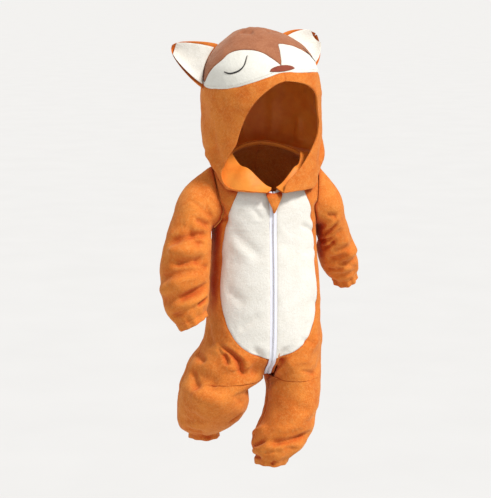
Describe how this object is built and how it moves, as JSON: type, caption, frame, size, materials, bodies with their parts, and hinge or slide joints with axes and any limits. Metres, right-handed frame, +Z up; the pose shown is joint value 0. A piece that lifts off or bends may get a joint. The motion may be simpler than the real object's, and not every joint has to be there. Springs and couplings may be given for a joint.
{
  "type": "hooded fleece jumpsuit",
  "caption": "Toddler's one-piece fleece jumpsuit with a fox-face hood, set-in sleeves, two legs, elastic cuffs and hems and a front zip, worn shape, hollow.",
  "frame": {"origin": "midway between the tops of the shoulders, where the garment hangs on its wearer", "axes": "+Z up the body, -Y the wearer's front with the zip, +X the wearer's left"},
  "size_m": [0.421, 0.2391, 0.8531],
  "materials": {
    "orange_fleece": "brushed polyester fleece, soft short nap",
    "cream_fleece": "brushed polyester fleece, soft short nap",
    "brown_fleece": "brushed polyester fleece, soft short nap",
    "nose_fleece": "short-napped applique",
    "hood_lining": "smooth knitted lining",
    "zip_tape": "woven zip tape with moulded teeth",
    "zip_metal": "nickel-plated slider"
  },
  "bodies": {
    "root": {"front_right": "orange_fleece", "front_left": "orange_fleece", "back_right": "orange_fleece", "back_left": "orange_fleece", "belly_right": "cream_fleece", "belly_left": "cream_fleece", "sleeve_right": "orange_fleece", "sleeve_left": "orange_fleece", "hood_right": "orange_fleece", "hood_left": "orange_fleece", "hood_crown": "brown_fleece", "face_patch": "cream_fleece", "nose": "nose_fleece", "ear_right_back": "orange_fleece", "ear_right_front": "cream_fleece", "ear_left_back": "orange_fleece", "ear_left_front": "cream_fleece", "lining_right": "hood_lining", "lining_left": "hood_lining", "zip_tape_right": "zip_tape", "zip_tape_left": "zip_tape", "zip_chain": "zip_tape", "zip_slider": "zip_metal", "zip_pull": "zip_metal", "zip_guard": "orange_fleece"}
  },
  "joints": []
}
